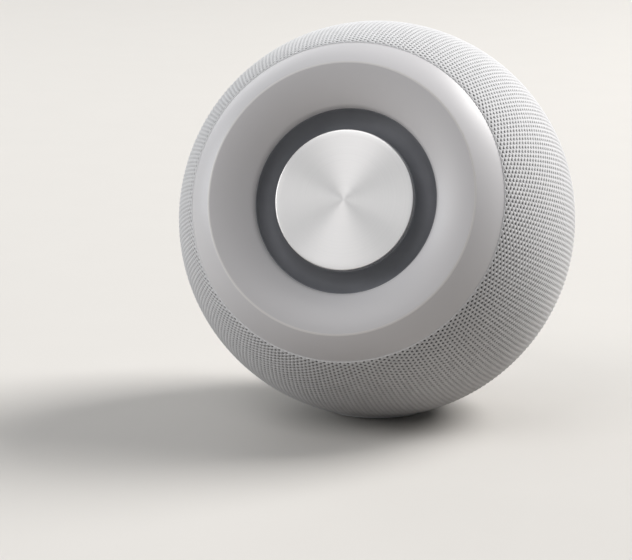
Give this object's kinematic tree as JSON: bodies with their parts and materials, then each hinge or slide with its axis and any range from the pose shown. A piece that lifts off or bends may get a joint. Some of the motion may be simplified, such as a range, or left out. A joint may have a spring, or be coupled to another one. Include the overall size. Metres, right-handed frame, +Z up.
{
  "type": "smart speaker",
  "caption": "Ball-shaped smart speaker in a mesh knit sleeve on a flat rubber foot, with a flared front ring round a spun passive radiator and push buttons on a rear panel.",
  "frame": {"origin": "centre of the rubber foot's flat underside", "axes": "+Z up from the foot; the front ring faces -Y and 18 degrees upwards; +X to the right seen from the front"},
  "size_m": [0.1, 0.0933, 0.099],
  "materials": {
    "knit": "open mesh knit",
    "white_plastic": "satin",
    "grey_plastic": "fine texture",
    "black_plastic": "moulded",
    "dark_rubber": "matt",
    "foam": "foam",
    "spun_aluminium": "spun",
    "aluminium": "plain",
    "steel": "zinc plated",
    "ferrite": "sintered",
    "copper": "wound",
    "paper": "pressed pulp",
    "weave": "treated cloth",
    "board": "solder mask",
    "chip": "epoxy",
    "wire": "insulation",
    "ribbon": "film",
    "light_pipe": "frosted"
  },
  "bodies": {
    "housing": {"knit_sleeve": "knit", "grille_shell_front": "grey_plastic", "grille_shell_rear": "grey_plastic", "front_bezel": "white_plastic", "radiator_frame": "black_plastic", "radiator_surround": "dark_rubber", "front_baffle": "black_plastic", "chamber_gasket": "foam", "acoustic_chamber": "black_plastic", "front_screws": "steel", "driver_gasket": "foam", "driver_basket": "black_plastic", "driver_screws": "steel", "driver_surround": "dark_rubber", "driver_spider": "weave", "driver_top_plate": "steel", "driver_magnet": "ferrite", "driver_yoke": "steel", "rear_cover": "white_plastic", "button_board": "board", "tact_switches": "steel", "button_board_screws": "steel", "microphones": "steel", "status_light": "light_pipe", "power_socket": "steel", "socket_tongue": "black_plastic", "main_board": "board", "main_board_screws": "steel", "shell_screws": "steel", "shield_can": "steel", "heat_spreader": "aluminium", "board_chips": "chip", "board_capacitors": "aluminium", "wifi_antenna": "steel", "ribbon_cable": "ribbon", "driver_wires": "wire", "wire_grommet": "dark_rubber", "base_weight": "steel", "foot_screws": "steel", "rubber_foot": "dark_rubber"},
    "radiator": {"radiator_plate": "spun_aluminium", "radiator_weight": "steel"},
    "driver_diaphragm": {"driver_cone": "paper", "driver_dust_cap": "paper", "driver_voice_coil": "copper"},
    "volume_up": {"volume_up_button": "grey_plastic"},
    "volume_down": {"volume_down_button": "grey_plastic"},
    "action": {"action_button": "grey_plastic"},
    "mute": {"mute_button": "grey_plastic"}
  },
  "joints": [
    {"name": "radiator_slide", "type": "slide", "parent": "housing", "child": "radiator", "axis": [0, -0.9511, 0.309], "range_m": [-0.0025, 0.0025], "stiffness_N_per_m": 1800, "deforming": ["radiator_surround"]},
    {"name": "driver_slide", "type": "slide", "parent": "housing", "child": "driver_diaphragm", "axis": [0, 0.309, 0.9511], "range_m": [-0.0015, 0.0015], "stiffness_N_per_m": 1500, "deforming": ["driver_surround", "driver_spider"]},
    {"name": "volume_up_press", "type": "slide", "parent": "housing", "child": "volume_up", "axis": [0, -0.9511, 0.309], "range_m": [0, 0.0005], "stiffness_N_per_m": 2000},
    {"name": "volume_down_press", "type": "slide", "parent": "housing", "child": "volume_down", "axis": [0, -0.9511, 0.309], "range_m": [0, 0.0005], "stiffness_N_per_m": 2000},
    {"name": "action_press", "type": "slide", "parent": "housing", "child": "action", "axis": [0, -0.9511, 0.309], "range_m": [0, 0.0005], "stiffness_N_per_m": 2000},
    {"name": "mute_press", "type": "slide", "parent": "housing", "child": "mute", "axis": [0, -0.9511, 0.309], "range_m": [0, 0.0005], "stiffness_N_per_m": 2000}
  ]
}
